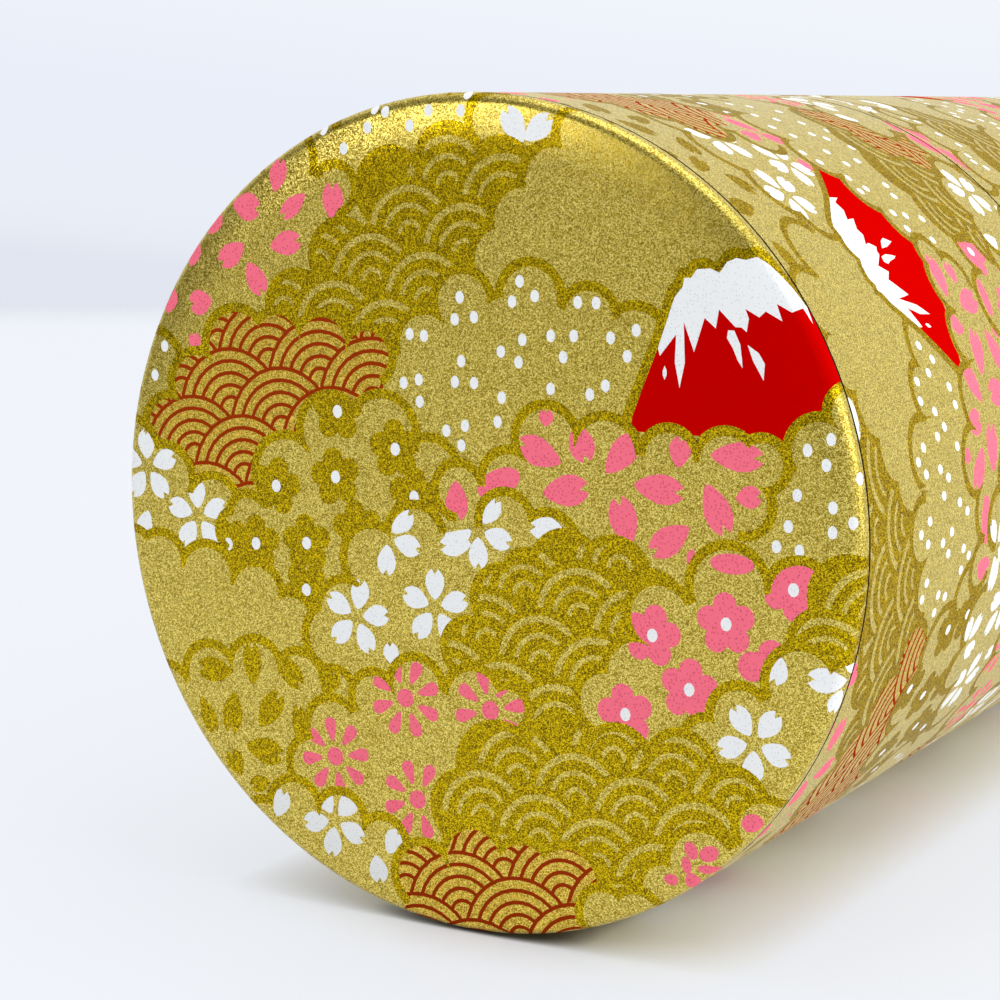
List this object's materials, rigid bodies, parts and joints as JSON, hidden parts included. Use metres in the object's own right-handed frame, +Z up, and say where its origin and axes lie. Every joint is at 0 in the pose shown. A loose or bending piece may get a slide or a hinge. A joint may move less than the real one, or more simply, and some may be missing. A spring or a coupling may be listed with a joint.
{
  "type": "tea caddy",
  "caption": "Cylindrical tea caddy: a tin canister covered in printed paper, with a slip-on outer lid and a plug-in inner lid with a knob.",
  "frame": {"origin": "centre of the circle on which the caddy stands, at the level of the table", "axes": "+Z up along the caddy's axis, towards the lid; +X and +Y are any two directions across it, and the print's up direction on the lid's top is +Y"},
  "size_m": [0.08, 0.08, 0.156],
  "materials": {
    "printed_paper": "satin",
    "tinplate": "satin",
    "tinplate_gold": "satin",
    "knob_metal": "polished"
  },
  "bodies": {
    "body": {"can_wall": "tinplate_gold", "neck_sleeve": "tinplate", "base_plate": "tinplate_gold", "body_paper": "printed_paper"},
    "inner_lid": {"inner_lid_pan": "tinplate", "inner_lid_knob": "knob_metal", "knob_rivet": "tinplate", "knob_washer": "tinplate"},
    "lid": {"lid_wall": "tinplate_gold", "lid_top_plate": "tinplate_gold", "lid_top_paper": "printed_paper", "lid_side_paper": "printed_paper"}
  },
  "joints": [
    {"name": "inner_lid_slide", "type": "slide", "parent": "body", "child": "inner_lid", "axis": [0, 0, 1], "range_m": [0, 0.06]},
    {"name": "lid_slide", "type": "slide", "parent": "inner_lid", "child": "lid", "axis": [0, 0, 1], "range_m": [0, 0.07]}
  ]
}
